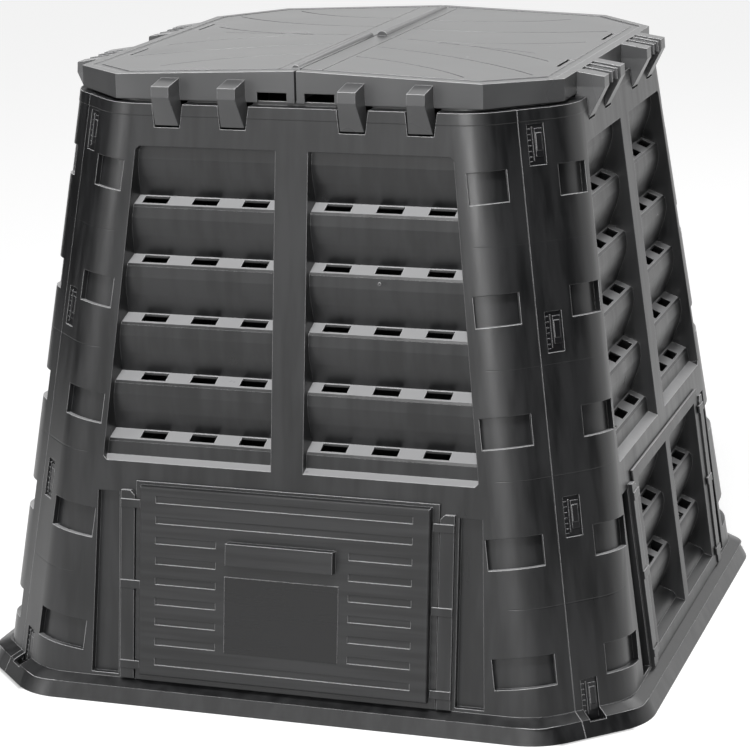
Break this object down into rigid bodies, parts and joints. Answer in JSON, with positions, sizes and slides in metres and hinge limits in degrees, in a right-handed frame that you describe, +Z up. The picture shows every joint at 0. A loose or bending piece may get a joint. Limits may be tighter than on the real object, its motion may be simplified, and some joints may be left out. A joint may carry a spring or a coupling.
{
  "type": "compost bin with lid",
  "caption": "Square tapered compost bin of four louvred wall mouldings with rounded corners, a sliding hatch at the foot of the front, and two half lids that hinge open from the middle.",
  "frame": {"origin": "on the ground under the middle of the bin, at the centre of the bottom of its bounding box", "axes": "+Z up; the front, with the hatch, faces -Y; the lids meet on the plane X = 0 and hinge at the left (-X) and right (+X) sides"},
  "size_m": [0.9318, 0.9318, 0.8303],
  "materials": {
    "wall_plastic": "semi-gloss black moulded polypropylene",
    "panel_plastic": "semi-gloss black moulded polypropylene",
    "hatch_plastic": "semi-gloss black moulded polypropylene",
    "lid_plastic": "semi-gloss black moulded polypropylene with flow grooves",
    "clip_plastic": "satin black nylon",
    "pin_steel": "blackened steel wire"
  },
  "bodies": {
    "bin": {"front_wall": "wall_plastic", "right_wall": "wall_plastic", "back_wall": "wall_plastic", "left_wall": "wall_plastic", "right_vent_panel": "panel_plastic", "back_vent_panel": "panel_plastic", "left_vent_panel": "panel_plastic", "right_lid_front_pin": "pin_steel", "right_lid_rear_pin": "pin_steel", "left_lid_front_pin": "pin_steel", "left_lid_rear_pin": "pin_steel", "front_left_clip_1": "clip_plastic", "front_left_clip_2": "clip_plastic", "front_left_clip_3": "clip_plastic", "front_left_clip_4": "clip_plastic", "front_right_clip_1": "clip_plastic", "front_right_clip_2": "clip_plastic", "front_right_clip_3": "clip_plastic", "front_right_clip_4": "clip_plastic", "back_right_clip_1": "clip_plastic", "back_right_clip_2": "clip_plastic", "back_right_clip_3": "clip_plastic", "back_right_clip_4": "clip_plastic", "back_left_clip_1": "clip_plastic", "back_left_clip_2": "clip_plastic", "back_left_clip_3": "clip_plastic", "back_left_clip_4": "clip_plastic"},
    "right_lid": {"right_lid": "lid_plastic"},
    "left_lid": {"left_lid": "lid_plastic"},
    "hatch_door": {"hatch_door": "hatch_plastic"}
  },
  "joints": [
    {"name": "right_lid_hinge", "type": "hinge", "parent": "bin", "child": "right_lid", "pos_m": [0.34, 0, 0.774], "axis": [0, 1, 0], "range_deg": [0, 100]},
    {"name": "left_lid_hinge", "type": "hinge", "parent": "bin", "child": "left_lid", "pos_m": [-0.34, 0, 0.774], "axis": [0, -1, 0], "range_deg": [0, 100]},
    {"name": "hatch_slide", "type": "slide", "parent": "bin", "child": "hatch_door", "axis": [0, 0.1293, 0.9916], "range_m": [0, 0.2]}
  ]
}
